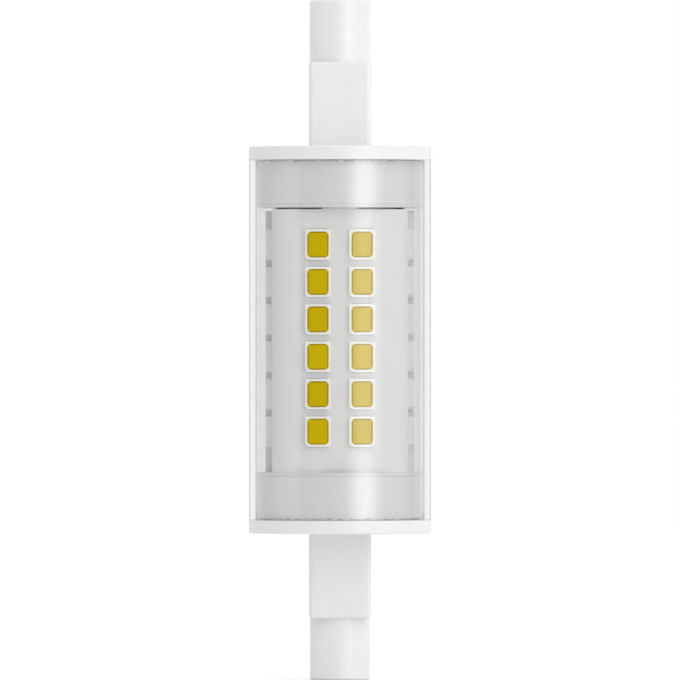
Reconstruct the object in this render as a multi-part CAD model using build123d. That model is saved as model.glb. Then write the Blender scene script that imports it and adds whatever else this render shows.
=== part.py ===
from build123d import *
import math
import os

# Double-ended linear LED lamp, standing on its lower end: millimetres, +Z along the lamp, front at -Y.

# Lamp and clear cover
overall_length = 78.0
contact_spacing = 74.9
cover_diameter = 20.9
cover_wall = 0.75
cover_clearance = 0.1
seal_length = 0.9
seal_clearance = 0.02

# End cap moulding: round nose, neck that is deeper than wide, collar and spigot
nose_diameter = 6.95
nose_length = 7.1
nose_edge_radius = 0.3
neck_width = 7.12
neck_depth = 8.2
neck_length = 9.7
neck_corner_radius = 0.5
neck_end_radius = 0.38
neck_joint_radius = 0.2
collar_thickness = 1.53
collar_edge_radius = 0.15
spigot_length = 5.06
spigot_wall = 1.2
joint_chamfer = 0.08

# Contact, riveted through the nose, and its lead wire
recess_diameter = 4.0
contact_diameter = 3.2
contact_thickness = 0.5
shank_diameter = 1.6
rivet_diameter = 2.4
rivet_thickness = 0.5
contact_clearance = 0.05
nose_web = 2.0
wire_diameter = 1.1
wire_bore_diameter = 3.6
wire_overlap = 3.5

# Holder plate that closes each spigot and carries the core
rim_thickness = 0.45
plug_length = 1.6
plug_wall = 1.0
boss_length = 2.0
boss_wall = 0.9
holder_clearance = 0.1

# LED packages
led_width = 2.95
led_length = 3.5
led_height = 0.72
led_floor = 0.25
led_frame_wall = 0.27
led_window_radius = 0.45
led_corner_radius = 0.2
led_corner_cut = 0.35
phosphor_dip = 0.04
phosphor_clearance = 0.01
led_column_gap = 2.11
led_row_gap = 0.78
led_end_margin = 1.8
led_rise = 0.32
led_edge_margin = 0.125

# LED boards, bent round the core, and the core itself
core_clearance = 0.16
board_thickness = 0.25
board_top_gap = 0.2
rail_led_gap = 0.355
rail_top_gap = 0.33
board_edge_clearance = 0.1
tab_width = 4.1
tab_clearance = 0.2
tab_end_margin = 0.9
core_wall = 1.0
relief_depth = 0.35
relief_side_margin = 0.6
groove_depth = 0.7
groove_rib = 0.8
groove_clearance = 0.1

# Wire links from the board tabs to the driver board
link_diameter = 0.6
link_spacing = 2.2
link_clearance = 0.2

# Driver board and its components, with levels measured from the middle of the lamp
driver_thickness = 1.0
driver_end_gap = 1.2
component_edge_gap = 1.6
can_diameter = 5.0
can_length = 9.0
can_level = -6.9
can_edge_cut = 0.4
can_groove = 0.25
can_groove_rise = 1.2
lead_diameter = 0.6
lead_length = 1.2
lead_spacing = 2.0
seat_gap = 0.1
film_size = (3.0, 4.6, 7.0)
film_level = 8.0
film_edge_radius = 0.4
choke_diameter = 5.4
choke_height = 5.0
choke_flange = 0.9
choke_post_diameter = 2.4
choke_level = 0.8
winding_diameter = 4.7
winding_clearance = 0.03
resistor_diameter = 2.2
resistor_length = 4.5
resistor_level = 8.0
resistor_edge_cut = 0.3
package_edge_radius = 0.2
foot_thickness = 0.25
foot_width = 0.5
foot_length = 0.8
rectifier_size = (4.1, 2.4, 4.9)
rectifier_level = -9.0
rectifier_feet = 2
chip_size = (3.9, 1.5, 4.9)
chip_level = -2.6
chip_feet = 4
diode_size = (2.6, 2.1, 4.2)
diode_level = 3.6
diode_feet = 1
chip_resistor_size = (1.6, 0.6, 3.2)
chip_resistor_levels = (-4.4, -0.6, 3.2, 7.0)
chip_capacitor_size = (1.6, 1.2, 3.2)
chip_capacitor_levels = (8.0, 11.4)

# Faces of the LED boards in turn, and the two edges of the driver board
led_faces = ("front", "right", "rear", "left")
left = -1
right = 1

# Heights worked out from the sizes above
middle = overall_length / 2
recess_depth = (overall_length - contact_spacing) / 2
contact_seat = recess_depth + contact_thickness
web_back = contact_seat + nose_web
rivet_end = web_back + rivet_thickness
neck_end = nose_length + neck_length
cup_floor = neck_end + collar_thickness
spigot_end = cup_floor + spigot_length
core_bottom = spigot_end + rim_thickness
core_top = overall_length - core_bottom
link_height = core_top + rim_thickness + plug_length + link_clearance + link_diameter / 2
tab_top = link_height + tab_end_margin
board_top = core_top - board_top_gap
rail_top = core_top - rail_top_gap
relief_floor = core_top - relief_depth
driver_bottom = cup_floor + driver_end_gap
driver_top = overall_length - driver_bottom

# Radii and half widths worked out from the sizes above
cover_radius = cover_diameter / 2
cover_inner_radius = cover_radius - cover_wall
spigot_radius = cover_inner_radius - cover_clearance
spigot_inner_radius = spigot_radius - spigot_wall
core_reach = cover_inner_radius - core_clearance
led_column_offset = (led_column_gap + led_width) / 2
flat_half_width = led_column_offset + led_width / 2 + led_edge_margin
board_corner_radius = core_reach - math.sqrt(2) * flat_half_width
board_half_width = flat_half_width + board_corner_radius
core_half_width = board_half_width - board_thickness
core_corner_radius = board_corner_radius - board_thickness
core_inner_half_width = core_half_width - core_wall
core_inner_corner_radius = core_corner_radius - core_wall
rail_half_width = led_column_gap / 2 - rail_led_gap
relief_half_width = board_half_width - relief_side_margin
rail_reach = board_half_width + led_height
driver_front = wire_diameter / 2
driver_rear = driver_front + driver_thickness
driver_half_width = core_inner_half_width - groove_clearance
led_row_pitch = led_length + led_row_gap
led_room = board_top - core_bottom - 2 * led_end_margin + led_row_gap
led_row_count = math.floor(led_room / led_row_pitch)
led_rows_middle = (core_bottom + board_top) / 2 + led_rise


def disc(diameter, bottom, top):
    """Upright cylinder on the lamp's axis."""
    return Pos(0, 0, bottom) * extrude(Circle(diameter / 2), top - bottom)


def block(low, high):
    """Square block between two opposite corners."""
    size = Vector(*high) - Vector(*low)
    corner = (Align.MIN, Align.MIN, Align.MIN)
    return Pos(*low) * Box(size.X, size.Y, size.Z, align=corner)


def square_bar(half_width, corner_radius, bottom, top):
    """Upright bar on the lamp's axis with a rounded-square section."""
    section = RectangleRounded(2 * half_width, 2 * half_width, corner_radius)
    return Pos(0, 0, bottom) * extrude(section, top - bottom)


def at_upper_end(piece):
    """The same piece turned end for end, for the upper end of the lamp."""
    return Pos(0, 0, overall_length) * Rot(0, 180, 0) * piece


def end_cap():
    """Lower end cap: one moulding with nose, neck, collar and spigot, bored for contact and wire."""
    nose = disc(nose_diameter, 0, nose_length)
    nose = fillet(nose.edges().group_by(Axis.Z)[0], nose_edge_radius)

    neck = Pos(0, 0, nose_length) * extrude(Rectangle(neck_width, neck_depth), neck_length)
    neck = fillet(neck.edges().filter_by(Axis.Z), neck_corner_radius)
    neck = fillet(neck.edges().group_by(Axis.Z)[0], neck_end_radius)

    collar = disc(cover_diameter, neck_end, cup_floor)
    collar = fillet(collar.edges().group_by(Axis.Z)[0], collar_edge_radius)

    body = nose + neck + collar
    joint_edges = body.edges().filter_by_position(Axis.Z, neck_end, neck_end)
    neck_outline = joint_edges.sort_by(SortBy.LENGTH)[:-1]
    body = fillet(neck_outline, neck_joint_radius)

    spigot = disc(2 * spigot_radius, cup_floor, spigot_end)
    spigot = chamfer(spigot.edges().group_by(Axis.Z)[-1], joint_chamfer)
    spigot -= disc(2 * spigot_inner_radius, cup_floor, spigot_end)

    bores = [
        disc(recess_diameter, 0, recess_depth),
        disc(contact_diameter + 2 * contact_clearance, recess_depth, contact_seat),
        disc(shank_diameter + 2 * contact_clearance, contact_seat, web_back),
        disc(wire_bore_diameter, web_back, cup_floor),
    ]
    return body + spigot - bores


def contact():
    """Lower contact: a flat head flush with the recess floor, a shank and a riveted tail."""
    head = disc(contact_diameter, recess_depth, contact_seat)
    shank = disc(shank_diameter, contact_seat, web_back)
    tail = disc(rivet_diameter, web_back, rivet_end)
    return head + shank + tail


def lead_wire():
    """Lower lead wire: from the contact's tail through the neck, then flat on the driver board."""
    return disc(wire_diameter, rivet_end, driver_bottom + wire_overlap)


def cover():
    """Clear tube between the two collars."""
    tube = disc(cover_diameter, cup_floor, overall_length - cup_floor)
    return tube - disc(2 * cover_inner_radius, cup_floor, overall_length - cup_floor)


def cover_seal():
    """Adhesive ring between the cover and the lower spigot, against the collar."""
    seal = disc(2 * (cover_inner_radius - seal_clearance), cup_floor, cup_floor + seal_length)
    return seal - disc(2 * (spigot_radius + seal_clearance), cup_floor, cup_floor + seal_length)


def core_holder():
    """Lower holder: a rim on the spigot's end, a plug in the spigot and a boss in the core."""
    rim = disc(2 * spigot_radius, spigot_end, core_bottom)
    rim = chamfer(rim.edges(), joint_chamfer)

    plug_radius = spigot_inner_radius - holder_clearance
    plug = disc(2 * plug_radius, spigot_end - plug_length, spigot_end)
    plug -= disc(2 * (plug_radius - plug_wall), spigot_end - plug_length, spigot_end)

    boss_half_width = core_inner_half_width - holder_clearance
    boss_radius = core_inner_corner_radius - holder_clearance
    boss = square_bar(boss_half_width, boss_radius, core_bottom, core_bottom + boss_length)

    window = square_bar(
        boss_half_width - boss_wall, boss_radius - boss_wall, spigot_end, core_bottom + boss_length
    )
    rib_room = groove_clearance + groove_rib + holder_clearance
    rib_gap = block(
        (-boss_half_width, driver_front - rib_room, core_bottom),
        (boss_half_width, driver_rear + rib_room, core_bottom + boss_length),
    )
    driver_slot = block(
        (-boss_half_width, driver_front - groove_clearance, spigot_end),
        (boss_half_width, driver_rear + groove_clearance, core_bottom),
    )

    slot_half_width = tab_width / 2 + tab_clearance
    slot_inner = core_half_width - tab_clearance
    slot_outer = board_half_width + tab_clearance
    holder = rim + boss - window - rib_gap - driver_slot
    for side in (-1, 1):
        holder -= block(
            (-slot_half_width, min(side * slot_inner, side * slot_outer), spigot_end),
            (slot_half_width, max(side * slot_inner, side * slot_outer), core_bottom),
        )
        plug -= block(
            (-slot_half_width, min(side * slot_inner, side * spigot_radius), spigot_end - plug_length),
            (slot_half_width, max(side * slot_inner, side * spigot_radius), spigot_end),
        )
    return holder + plug


def core():
    """Extruded core: a rounded-square tube with side rails, inner grooves and a relieved upper edge."""
    tube = square_bar(core_half_width, core_corner_radius, core_bottom, core_top)
    rail = block((-rail_reach, -rail_half_width, core_bottom), (rail_reach, rail_half_width, rail_top))
    inside = square_bar(core_inner_half_width, core_inner_corner_radius, core_bottom, core_top)
    profile = tube + rail - inside
    front_rib = driver_front - groove_clearance
    rear_rib = driver_rear + groove_clearance
    for side in (left, right):
        wall = side * (core_inner_half_width + core_wall / 2)
        tip = side * (core_inner_half_width - groove_depth)
        for near, far in ((front_rib - groove_rib, front_rib), (rear_rib, rear_rib + groove_rib)):
            profile += block((min(wall, tip), near, core_bottom), (max(wall, tip), far, core_top))
    relief = block(
        (tab_width / 2, -core_half_width, relief_floor), (relief_half_width, -flat_half_width, core_top)
    )
    for turn in (0, 180):
        for mirrored in (relief, mirror(relief, Plane.YZ)):
            profile -= Rot(0, 0, turn) * mirrored
    return profile


def led_board():
    """Front LED board: a thin board bent round the front half of the core, with a tab at its upper edge."""
    board = square_bar(board_half_width, board_corner_radius, core_bottom, board_top)
    board -= square_bar(core_half_width, core_corner_radius, core_bottom, board_top)
    edge = rail_half_width + board_edge_clearance
    board -= block(
        (-board_half_width, -edge, core_bottom), (board_half_width, board_half_width, board_top)
    )
    tab = block(
        (-tab_width / 2, -board_half_width, board_top), (tab_width / 2, -core_half_width, tab_top)
    )
    return board + tab


def led_window(inset):
    """Outline of the opening in an LED's frame, or of what fills it."""
    width = led_width - 2 * led_frame_wall - 2 * inset
    length = led_length - 2 * led_frame_wall - 2 * inset
    return RectangleRounded(width, length, led_window_radius - inset)


def led_frame():
    """White LED frame on the XY plane, with its polarity corner cut and its window open upwards."""
    outline = RectangleRounded(led_width, led_length, led_corner_radius)
    low_x = -led_width / 2
    low_y = -led_length / 2
    cut = [(low_x, low_y), (low_x + led_corner_cut, low_y), (low_x, low_y + led_corner_cut)]
    outline -= make_face(Polyline(cut, close=True))
    frame = extrude(outline, led_height)
    return frame - Pos(0, 0, led_floor) * extrude(led_window(0), led_height - led_floor)


def led_phosphor():
    """Phosphor filling of an LED's window."""
    depth = led_height - led_floor - phosphor_dip
    return Pos(0, 0, led_floor) * extrude(led_window(phosphor_clearance), depth)


def led_column(piece, turn, side):
    """Copies of one LED piece in a column, left or right on the face at this turn from the front."""
    angle = math.radians(turn)
    across = Vector(math.cos(angle), math.sin(angle), 0)
    outward = Vector(math.sin(angle), -math.cos(angle), 0)
    foot = outward * board_half_width + across * (side * led_column_offset)
    copies = []
    for row in range(led_row_count):
        height = led_rows_middle + (row - (led_row_count - 1) / 2) * led_row_pitch
        seat = Plane(origin=foot + Vector(0, 0, height), x_dir=across, z_dir=outward)
        copies.append((seat * piece).solid())
    return Compound(copies)


def board_links():
    """Bare wire links from the inner faces of both tabs to the driver board."""
    links = []
    for near, far in ((-core_half_width, driver_front), (driver_rear, core_half_width)):
        for side in (left, right):
            link = Rot(-90, 0, 0) * extrude(Circle(link_diameter / 2), far - near)
            links.append((Pos(side * link_spacing / 2, near, link_height) * link).solid())
    return Compound(links)


def driver_board():
    """Driver board, slid into the grooves of the core."""
    return block(
        (-driver_half_width, driver_front, driver_bottom), (driver_half_width, driver_rear, driver_top)
    )


def edge_place(side, width):
    """Middle of a component of this width that stands along one edge of the driver board."""
    return side * (driver_half_width - component_edge_gap - width / 2)


def bent_lead(x, body_y, body_end, direction):
    """Wire lead that leaves a body along the lamp and turns down to the front of the driver board."""
    tip = body_end + direction * lead_length
    bend = tip - direction * lead_diameter / 2
    run = Pos(x, body_y, min(body_end, tip)) * extrude(Circle(lead_diameter / 2), lead_length)
    drop = Rot(-90, 0, 0) * extrude(Circle(lead_diameter / 2), driver_front - body_y)
    return run + Pos(x, body_y, bend) * drop


def smoothing_capacitor():
    """Round can that lies on the front of the driver board, with a crimp near its lead end."""
    radius = can_diameter / 2
    outline = Polyline(
        (0, 0),
        (radius - can_edge_cut, 0),
        (radius, can_edge_cut),
        (radius, can_groove_rise - can_groove),
        (radius - can_groove, can_groove_rise),
        (radius, can_groove_rise + can_groove),
        (radius, can_length - can_edge_cut),
        (radius - can_edge_cut, can_length),
        (0, can_length),
        close=True,
    )
    can = revolve(Plane.XZ * make_face(outline), Axis.Z)
    axis_y = driver_front - seat_gap - radius
    bottom = middle + can_level - can_length / 2
    whole = Pos(0, axis_y, bottom) * can
    for side in (left, right):
        whole += bent_lead(side * lead_spacing / 2, axis_y, bottom, -1)
    return whole


def film_capacitor():
    """Moulded film capacitor on the front of the driver board."""
    width, rise, length = film_size
    x = edge_place(left, width)
    bottom = middle + film_level - length / 2
    body = block(
        (x - width / 2, driver_front - rise, bottom), (x + width / 2, driver_front, bottom + length)
    )
    return fillet(body.edges().group_by(Axis.Y)[0], film_edge_radius)


def choke_seat():
    """Place of the choke on the front of the driver board, with its axis pointing forwards."""
    return Pos(0, driver_front, middle + choke_level) * Rot(90, 0, 0)


def choke_core():
    """Ferrite drum with two flanges on a post."""
    post = disc(choke_post_diameter, 0, choke_height)
    lower = disc(choke_diameter, 0, choke_flange)
    upper = disc(choke_diameter, choke_height - choke_flange, choke_height)
    return choke_seat() * (post + lower + upper)


def choke_winding():
    """Copper winding between the flanges of the drum."""
    bottom = choke_flange + winding_clearance
    top = choke_height - choke_flange - winding_clearance
    bore = choke_post_diameter + 2 * winding_clearance
    return choke_seat() * (disc(winding_diameter, bottom, top) - disc(bore, bottom, top))


def fusible_resistor():
    """Axial resistor on the front of the driver board, with both leads turned down to it."""
    x = edge_place(right, resistor_diameter)
    axis_y = driver_front - seat_gap - resistor_diameter / 2
    bottom = middle + resistor_level - resistor_length / 2
    body = extrude(Circle(resistor_diameter / 2), resistor_length)
    body = Pos(x, axis_y, bottom) * chamfer(body.edges(), resistor_edge_cut)
    body += bent_lead(x, axis_y, bottom, -1)
    return body + bent_lead(x, axis_y, bottom + resistor_length, 1)


def footed_package(size, x, level, feet):
    """Moulded package on the rear of the driver board, with a row of feet along each side."""
    width, rise, length = size
    bottom = middle + level - length / 2
    package = block(
        (x - width / 2, driver_rear, bottom), (x + width / 2, driver_rear + rise, bottom + length)
    )
    package = fillet(package.edges().group_by(Axis.Y)[-1], package_edge_radius)
    reach = width / 2 + foot_length
    for index in range(feet):
        foot = middle + level + (index - (feet - 1) / 2) * length / feet
        package += block(
            (x - reach, driver_rear, foot - foot_width / 2),
            (x + reach, driver_rear + foot_thickness, foot + foot_width / 2),
        )
    return package


def left_package(size, level, feet):
    """Footed package along the left edge of the driver board."""
    return footed_package(size, edge_place(left, size[0] + 2 * foot_length), level, feet)


def chip_parts(size, side, levels):
    """Small ceramic chips along one edge of the driver board, on its rear."""
    width, rise, length = size
    x = edge_place(side, width)
    chips = []
    for level in levels:
        bottom = middle + level - length / 2
        chip = block(
            (x - width / 2, driver_rear, bottom), (x + width / 2, driver_rear + rise, bottom + length)
        )
        chips.append(chip.solid())
    return Compound(chips)


def lamp_pieces():
    """Every piece of the lamp by its name."""
    pieces = {
        "clear_cover": cover(),
        "core": core(),
        "front_led_board": led_board(),
        "rear_led_board": Rot(0, 0, 180) * led_board(),
        "board_links": board_links(),
        "driver_board": driver_board(),
        "smoothing_capacitor": smoothing_capacitor(),
        "film_capacitor": film_capacitor(),
        "choke_core": choke_core(),
        "choke_winding": choke_winding(),
        "fusible_resistor": fusible_resistor(),
        "rectifier_bridge": footed_package(rectifier_size, 0, rectifier_level, rectifier_feet),
        "driver_chip": left_package(chip_size, chip_level, chip_feet),
        "output_diode": left_package(diode_size, diode_level, diode_feet),
        "chip_resistors": chip_parts(chip_resistor_size, right, chip_resistor_levels),
        "chip_capacitors": chip_parts(chip_capacitor_size, left, chip_capacitor_levels),
    }
    end_pieces = {
        "end_cap": end_cap(),
        "contact": contact(),
        "lead_wire": lead_wire(),
        "cover_seal": cover_seal(),
        "core_holder": core_holder(),
    }
    for name, piece in end_pieces.items():
        pieces["lower_" + name] = piece
        pieces["upper_" + name] = at_upper_end(piece)
    for index, face in enumerate(led_faces):
        neighbours = {left: led_faces[index - 1], right: led_faces[(index + 1) % len(led_faces)]}
        for side, neighbour in neighbours.items():
            column = face + "_" + neighbour
            pieces["led_frames_" + column] = led_column(led_frame(), 90 * index, side)
            pieces["led_phosphor_" + column] = led_column(led_phosphor(), 90 * index, side)
    return pieces


os.makedirs("parts", exist_ok=True)
for name, piece in lamp_pieces().items():
    export_step(piece, os.path.join("parts", name + ".step"))
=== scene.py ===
"""Finishes, stage and camera for a double-ended linear LED lamp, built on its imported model."""
import math

import bmesh
import bpy
from bpy.props import FloatProperty, FloatVectorProperty, IntProperty, PointerProperty
from bpy.types import Operator, Panel, PropertyGroup
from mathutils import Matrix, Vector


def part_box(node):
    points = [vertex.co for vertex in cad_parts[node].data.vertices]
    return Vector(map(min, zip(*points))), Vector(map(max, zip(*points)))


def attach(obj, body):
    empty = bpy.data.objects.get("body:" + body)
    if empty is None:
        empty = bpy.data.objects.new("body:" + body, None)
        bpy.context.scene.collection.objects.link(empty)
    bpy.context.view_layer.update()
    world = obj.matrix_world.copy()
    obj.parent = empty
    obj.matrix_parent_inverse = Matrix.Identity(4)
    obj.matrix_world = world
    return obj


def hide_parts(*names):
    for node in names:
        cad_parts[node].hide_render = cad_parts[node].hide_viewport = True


bl_info = {
    "name": "Linear LED lamp",
    "version": (1, 0, 0),
    "blender": (4, 5, 0),
    "location": "View3D > Sidebar > LED lamp",
    "description": "Finishes, stage and camera for a double-ended linear LED lamp",
    "category": "Object",
}

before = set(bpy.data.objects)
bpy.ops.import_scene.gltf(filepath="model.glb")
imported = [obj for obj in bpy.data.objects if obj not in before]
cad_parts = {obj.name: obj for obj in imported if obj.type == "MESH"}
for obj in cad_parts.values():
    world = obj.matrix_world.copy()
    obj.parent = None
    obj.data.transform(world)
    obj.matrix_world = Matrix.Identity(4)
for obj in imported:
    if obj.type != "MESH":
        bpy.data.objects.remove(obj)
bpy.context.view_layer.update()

led_low, led_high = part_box("led_frames_front_right")
cover_low, cover_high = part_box("clear_cover")
seal_low, seal_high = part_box("lower_cover_seal")
lamp_middle = (cover_low.z + cover_high.z) / 2

led_faces = ("front", "right", "rear", "left")
led_columns = [face + "_" + led_faces[i - 1] for i, face in enumerate(led_faces)]
led_columns += [face + "_" + led_faces[(i + 1) % len(led_faces)] for i, face in enumerate(led_faces)]

# Fine shapes of an LED package, in metres. The start of the frame's edge is a share of the edge, and the
# solder's half width a share of the package's. Each loop of the phosphor has an inset and a drop.
corner_steps = 6
edge_start = 0.3
phosphor_gap = 0.00001
phosphor_loops = (
    (phosphor_gap, 0.00005),
    (0.00006, 0.00004),
    (0.00012, 0.00001),
    (0.0002, 0.0),
    (0.0006, 0.00001),
    (0.001, 0.00002),
)
phosphor_corner = 0.00012
# Width of the phosphor's rim that gets a painted shade
phosphor_shade_rim = 0.00013
solder_share = 0.38
solder_overlap = 0.00004
solder_foot = 0.00004
solder_rise = 0.00012
led_twist_degrees = 0.15
package_crease_degrees = 32

# Cover and adhesive rings. The adhesive's reaches are shares of its height. It pools at the sides,
# between two shares of its radius. Its edges are softened by one of so many parts of its thickness.
cover_segments = 256
adhesive_segments = 720
adhesive_marks = 1500.0
adhesive_noise_low = 0.4
adhesive_noise_high = 0.7
adhesive_least_reach = 0.06
adhesive_reach = 0.42
adhesive_pool_start = 0.972
adhesive_pool_full = 0.994
adhesive_edge_parts = 6
ring_crease_degrees = 25

# Finishes: range that noise is read over, how much broader mottling is than grain, and an even stretch
noise_low = 0.3
noise_high = 0.7
mottle_size = 9.0
evenly = (1.0, 1.0, 1.0)

# Stage, in metres and in degrees from the camera's side towards the right
panel_facets = 32
panel_dome_share = 0.52
panel_radius = 0.6
front_panel_turns = (0.0, 59.0)
front_panel_top = 0.8
side_panel_turns = (59.0, 120.0)
side_panel_top = 0.9
streak_panel_turns = (1.0, 63.0)
streak_panel_top = 0.8
wall_radius = 1.0
wall_top = 2.0
wall_turns = {
    "front_wall": (-56.0, 122.0),
    "left_wall": (-112.0, -56.0),
    "rear_wall": (158.0, 202.0),
}
floor_reach = 6.0
white = (1.0, 1.0, 1.0, 1.0)


# Settings that a user would change

def size(name, description, default):
    """Property for a size in metres."""
    return FloatProperty(name=name, description=description, default=default, unit="LENGTH", precision=5)


def number(name, description, default):
    """Property for a plain number."""
    return FloatProperty(name=name, description=description, default=default)


def count(name, description, default):
    """Property for a whole number."""
    return IntProperty(name=name, description=description, default=default)


def colour(name, description, default):
    """Property for a linear colour."""
    return FloatVectorProperty(
        name=name, description=description, default=default, subtype="COLOR", size=3, min=0.0, max=1.0
    )


class LedSizes(PropertyGroup):
    """Sizes of one LED package and of the rows it repeats in."""

    width: size("Width", "Across one package", led_high.x - led_low.x)
    length: size("Length", "Along one package", 0.0035)
    height: size("Height", "Package height above its board", led_high.y - led_low.y)
    wall: size("Frame wall", "Width of the frame round the window", 0.00027)
    corner: size("Outer corner", "Rounding of the frame's outer corners", 0.0002)
    cut: size("Polarity cut", "Size of the cut corner", 0.00035)
    window_corner: size("Window corner", "Rounding of the window's corners", 0.00045)
    edge: size("Edge", "Softening of the frame's upper edges", 0.00004)
    floor: size("Floor", "Height of the window's floor above the board", 0.00025)
    dip: size("Phosphor dip", "How far the phosphor lies below the frame", 0.00004)
    solder: size("Solder", "Reach of the solder beyond each end of a package", 0.00007)
    offset: size("Column offset", "From a face's middle to a column", (led_low.x + led_high.x) / 2)
    board: size("Board distance", "From the lamp's axis to the boards' faces", -led_high.y)
    rows_middle: size("Rows middle", "Height of the middle of the rows", (led_low.z + led_high.z) / 2)
    rows_span: size("Rows span", "Height of a whole column", led_high.z - led_low.z)
    rows: IntProperty(name="Rows", description="Packages in one column", default=6, min=2)
    seed: count("Seed", "Seed of the small differences between packages", 4)


class CoverSizes(PropertyGroup):
    """Sizes of the clear cover tube and of the adhesive at its ends."""

    radius: size("Radius", "Outer radius of the tube", cover_high.x)
    wall: size("Wall", "Wall of the tube", 0.00075)
    edge: size("Edge", "Chamfer of the tube's ends", 0.00004)
    bottom: size("Bottom", "Height of the tube's lower end", cover_low.z)
    tube_length: size("Length", "Length of the tube", cover_high.z - cover_low.z)
    passed: number("Passed", "Share of light that one surface passes at a slant", 0.915)
    seal_radius: size("Adhesive radius", "Outer radius of the adhesive", seal_high.x)
    seal_wall: size("Adhesive thickness", "Thickness of the adhesive", 0.00006)
    seal_height: size("Adhesive height", "Greatest reach from the collar", seal_high.z - seal_low.z)
    seed: count("Seed", "Seed of the adhesive's uneven edge", 7)


class LampColours(PropertyGroup):
    """Colours of the lamp's finishes."""

    cap: colour("Cap plastic", "End cap mouldings", (0.84, 0.84, 0.838))
    # Painted shade: a greyer colour on the spigots stands in for the light that the cover keeps from
    # them
    spigot_painted_shade: colour("Spigot tint", "Tint of the spigots inside the cover", (0.94, 0.94, 0.94))
    holder: colour("Holder plastic", "Holder plates", (0.765, 0.765, 0.76))
    # Partly painted shade: the adhesive's dark colour also stands in for the contact shade in the joints
    # at the collars
    glue_and_joint_shade: colour("Adhesive", "Cured adhesive", (0.52, 0.52, 0.515))
    core: colour("Core", "Extruded core", (0.83, 0.835, 0.84))
    board: colour("LED board", "White solder mask", (0.825, 0.825, 0.823))
    led: colour("LED frame", "White package frame", (0.965, 0.945, 0.90))
    # Painted shade: this tint darkens the packages' outer sides and also turns them a neutral grey
    led_side_painted_shade: colour("LED side tint", "Tint of the packages' outer sides", (0.885, 0.904, 0.949))
    phosphor: colour("Phosphor", "Yellow phosphor", (0.658, 0.485, 0.001))
    solder: colour("Solder", "Tinned joints and contacts", (0.72, 0.71, 0.68))
    sleeve: colour("Wire sleeve", "Sleeves of the lead wires", (0.75, 0.75, 0.74))
    copper: colour("Copper", "Bare wire and winding", (0.80, 0.50, 0.30))
    laminate: colour("Laminate", "Driver board", (0.09, 0.30, 0.17))
    can: colour("Can", "Smoothing capacitor", (0.60, 0.60, 0.62))
    film_case: colour("Film case", "Film capacitor", (0.55, 0.12, 0.08))
    ferrite: colour("Ferrite", "Drum of the choke", (0.08, 0.08, 0.085))
    resistor: colour("Resistor coat", "Fusible resistor", (0.35, 0.50, 0.55))
    package: colour("Package", "Moulded driver packages", (0.03, 0.03, 0.03))
    ceramic: colour("Ceramic", "Chip components", (0.50, 0.40, 0.30))


class StageSettings(PropertyGroup):
    """Camera and studio light."""

    lens: number("Lens", "Focal length in millimetres", 922.0)
    distance: size("Camera distance", "From the camera to the lamp's axis", 2.0)
    dome_low: number("Low dome", "Light from the horizon", 0.08)
    dome_high: number("High dome", "Light from overhead", 1.03)
    dome_full: number("Full dome", "Sine of the elevation from which the dome is at its full light", 0.6)
    front_panel: number("Front panel", "Brightness of the soft panel beside the camera", 1.68)
    side_panel: number("Side panel", "Brightness of the soft panel on the right", 1.2)
    streak_panel: number("Streak panel", "Brightness of the panel that the gloss mirrors", 3.2)
    panel_bottom: size("Panel bottom", "Height of the soft panels' lower edge", 0.03)
    front_wall: number("Front wall", "Dimness that the gloss mirrors in front", 0.02)
    left_wall: number("Left wall", "Glow that the gloss mirrors on the left", 0.85)
    rear_wall: number("Rear wall", "Dimness that the outline mirrors", 0.6)
    floor: colour("Floor", "Floor's own colour", (0.90, 0.90, 0.90))
    floor_white: number("Floor white", "White added where the floor is seen", 0.185)


# Helpers for node trees

def add(tree, kind, values=None, **settings):
    """Add a node with its settings and the values of its free inputs."""
    node = tree.nodes.new(kind)
    for name, value in settings.items():
        setattr(node, name, value)
    for name, value in (values or {}).items():
        node.inputs[name].default_value = value
    return node


def feed(tree, value, socket):
    """Set a socket to a number, or link it to another node's output."""
    if isinstance(value, bpy.types.NodeSocket):
        tree.links.new(value, socket)
    else:
        socket.default_value = value


def live(sockets):
    """Sockets that a node uses in its present setting."""
    return [socket for socket in sockets if socket.enabled]


def calculate(tree, operation, first, second=0.0):
    """Output of a math node."""
    node = add(tree, "ShaderNodeMath", operation=operation)
    feed(tree, first, node.inputs[0])
    feed(tree, second, node.inputs[1])
    return node.outputs[0]


def axes(tree, source):
    """Outputs for the three axes of a vector."""
    node = add(tree, "ShaderNodeSeparateXYZ")
    tree.links.new(source, node.inputs["Vector"])
    return node.outputs


def vector(tree, x=0.0, y=0.0, z=0.0):
    """Vector of numbers or outputs along its three axes."""
    node = add(tree, "ShaderNodeCombineXYZ")
    for value, socket in zip((x, y, z), node.inputs):
        feed(tree, value, socket)
    return node.outputs["Vector"]


def ranged(tree, source, limits):
    """Output carried over from one range of values to another."""
    node = add(tree, "ShaderNodeMapRange")
    for name, value in limits.items():
        feed(tree, value, node.inputs[name])
    tree.links.new(source, node.inputs["Value"])
    return node.outputs["Result"]


def grain(tree, mark_size, stretch=evenly):
    """Noise on the piece's own coordinates, with marks of about this size in metres."""
    place = add(tree, "ShaderNodeTexCoord")
    scale = add(tree, "ShaderNodeMapping", {"Scale": [1.0 / (mark_size * factor) for factor in stretch]})
    noise = add(tree, "ShaderNodeTexNoise", {"Scale": 1.0, "Detail": 3.0})
    tree.links.new(place.outputs["Object"], scale.inputs["Vector"])
    tree.links.new(scale.outputs["Vector"], noise.inputs["Vector"])
    return noise.outputs["Fac"]


def spread(tree, source, low, high):
    """Noise spread over a range of values."""
    limits = {"From Min": noise_low, "From Max": noise_high, "To Min": low, "To Max": high}
    return ranged(tree, source, limits)


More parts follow.
